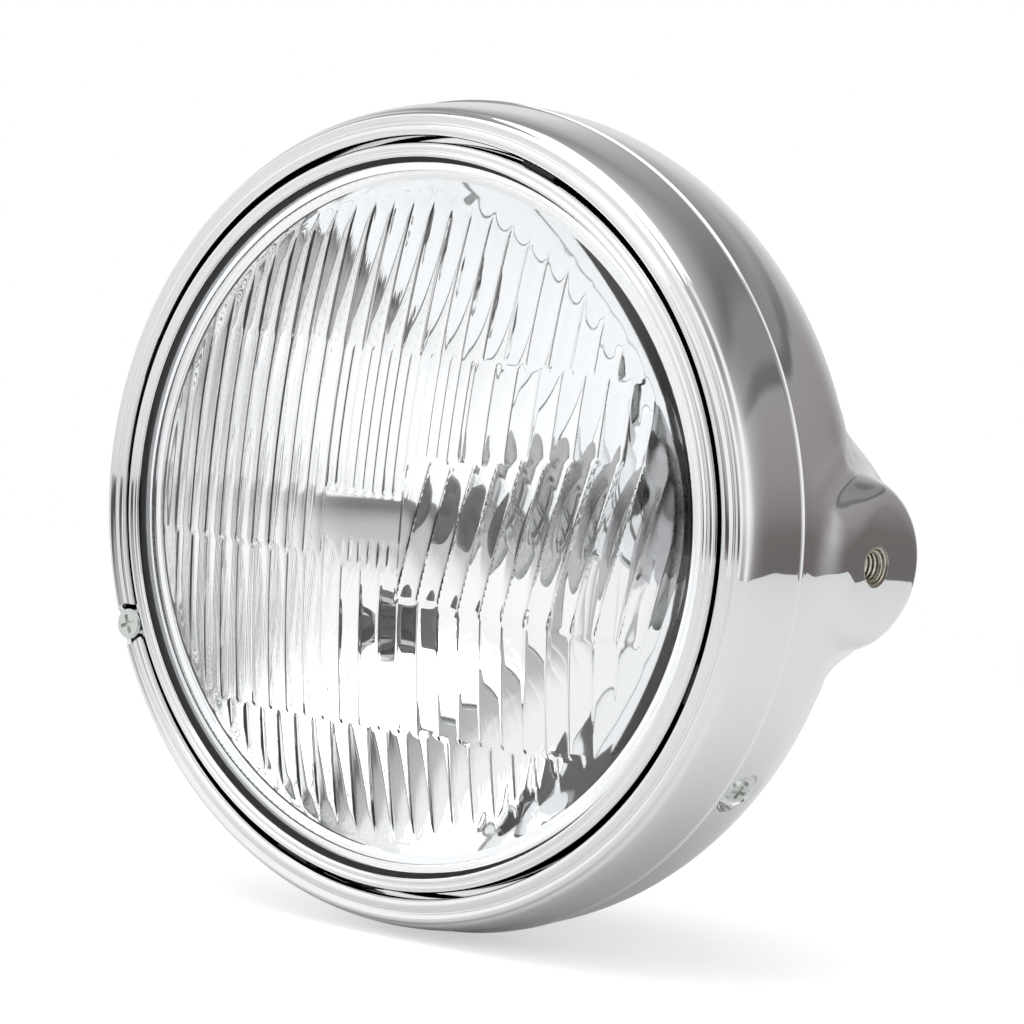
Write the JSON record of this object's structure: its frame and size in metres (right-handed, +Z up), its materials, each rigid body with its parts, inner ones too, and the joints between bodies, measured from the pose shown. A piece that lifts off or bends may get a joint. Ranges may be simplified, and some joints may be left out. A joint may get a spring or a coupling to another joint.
{
  "type": "round motorcycle headlight",
  "caption": "Chromed round headlight with fluted glass, side-bolt ears and a swinging optical unit aimed by a screw",
  "frame": {"origin": "where the axis through the two ear bolts crosses the optical axis", "axes": "+X towards the right ear as seen from in front, -Y is the way the light shines, +Z up"},
  "size_m": [0.21, 0.1228, 0.2048],
  "materials": {
    "shell": "polished",
    "rim": "polished",
    "pivot_pins": "zinc-plated",
    "rim_screws": "zinc-plated",
    "rim_nuts": "plain",
    "rim_hook": "zinc-plated",
    "ear_bushes": "yellow-zinc",
    "cable_grommet": "matt",
    "front_ring": "polished",
    "lens": "clear pressed glass",
    "lens_seal": "matt",
    "reflector": "vacuum-coated",
    "unit_clips": "blackened spring steel",
    "adjuster_nut": "zinc-plated",
    "bulb_seat": "zinc-plated",
    "bulb_base": "plain",
    "bulb_glass": "clear with dark tip",
    "bulb_shade": "plain",
    "bulb_filaments": "tungsten",
    "bulb_terminals": "tinned",
    "bulb_clip": "spring wire",
    "bulb_boot": "matt",
    "pilot_grommet": "matt",
    "pilot_holder": "plated",
    "pilot_glass": "clear",
    "pilot_contact": "plain",
    "adjuster_screw": "zinc-plated",
    "adjuster_retainer": "blackened"
  },
  "bodies": {
    "root": {"shell": "shell", "rim": "rim", "pivot_pins": "pivot_pins", "rim_screws": "rim_screws", "rim_nuts": "rim_nuts", "rim_hook": "rim_hook", "ear_bushes": "ear_bushes", "cable_grommet": "cable_grommet"},
    "optical_unit": {"front_ring": "front_ring", "lens": "lens", "lens_seal": "lens_seal", "reflector": "reflector", "unit_clips": "unit_clips", "adjuster_nut": "adjuster_nut", "bulb_seat": "bulb_seat", "bulb_base": "bulb_base", "bulb_glass": "bulb_glass", "bulb_shade": "bulb_shade", "bulb_filaments": "bulb_filaments", "bulb_terminals": "bulb_terminals", "bulb_clip": "bulb_clip", "bulb_boot": "bulb_boot", "pilot_grommet": "pilot_grommet", "pilot_holder": "pilot_holder", "pilot_glass": "pilot_glass", "pilot_contact": "pilot_contact"},
    "adjuster": {"adjuster_screw": "adjuster_screw", "adjuster_retainer": "adjuster_retainer"}
  },
  "joints": [
    {"name": "beam_aim", "type": "hinge", "parent": "root", "child": "optical_unit", "pos_m": [0, -0.0335, 0], "axis": [0, 0, 1], "range_deg": [-2, 2]},
    {"name": "adjuster_turn", "type": "hinge", "parent": "root", "child": "adjuster", "pos_m": [-0.08828, 0, -0.03747], "axis": [0, 1, 0], "range_deg": [-1395, 1395]}
  ],
  "couplings": [
    {"joint": "adjuster_turn", "follows": "beam_aim", "ratio": 693.3}
  ]
}
